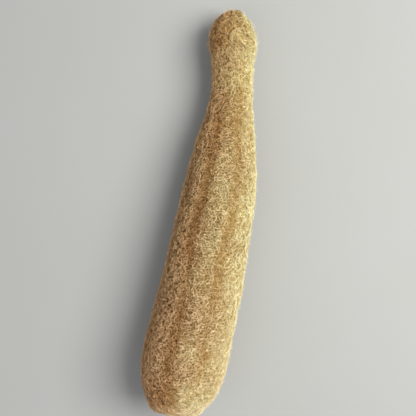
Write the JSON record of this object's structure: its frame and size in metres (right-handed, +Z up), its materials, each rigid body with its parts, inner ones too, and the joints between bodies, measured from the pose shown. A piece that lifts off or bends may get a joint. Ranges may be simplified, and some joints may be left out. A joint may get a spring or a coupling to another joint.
{
  "type": "natural loofah back scrubber",
  "caption": "Whole dried luffa sponge, bent and club-shaped with a narrow stem end, held in the hand to scrub the back and body in the bath or a spa.",
  "frame": {"origin": "on the ground plane, under the middle of the bounding box", "axes": "+Y from the blossom end to the stem end, +Z up from the flat it lies on, +X completes a right-handed frame; the stem end bends towards +X"},
  "size_m": [0.1267, 0.45, 0.0941],
  "materials": {
    "outer_fibre": "dry matt plant fibre, straw to golden tan",
    "knot_fibre": "dense dry plant fibre, browner",
    "mat_fibre": "open springy mat of fine fibres",
    "lining_fibre": "smooth lengthwise fibres",
    "core_fibre": "stiff netted fibre",
    "vein_fibre": "thick woody strand"
  },
  "bodies": {
    "root": {"net_lobe_01": "outer_fibre", "net_lobe_02": "outer_fibre", "net_lobe_03": "outer_fibre", "net_lobe_04": "outer_fibre", "net_lobe_05": "outer_fibre", "net_lobe_06": "outer_fibre", "net_lobe_07": "outer_fibre", "net_lobe_08": "outer_fibre", "blossom_rim": "outer_fibre", "stem_head": "knot_fibre", "stem_plug": "knot_fibre", "middle_mat": "mat_fibre", "core_column": "core_fibre", "septum_1": "core_fibre", "septum_2": "core_fibre", "septum_3": "core_fibre", "chamber_lining_1": "lining_fibre", "chamber_lining_2": "lining_fibre", "chamber_lining_3": "lining_fibre", "vein_01": "vein_fibre", "vein_02": "vein_fibre", "vein_03": "vein_fibre", "vein_04": "vein_fibre", "vein_05": "vein_fibre", "vein_06": "vein_fibre", "vein_07": "vein_fibre", "vein_08": "vein_fibre"}
  },
  "joints": []
}
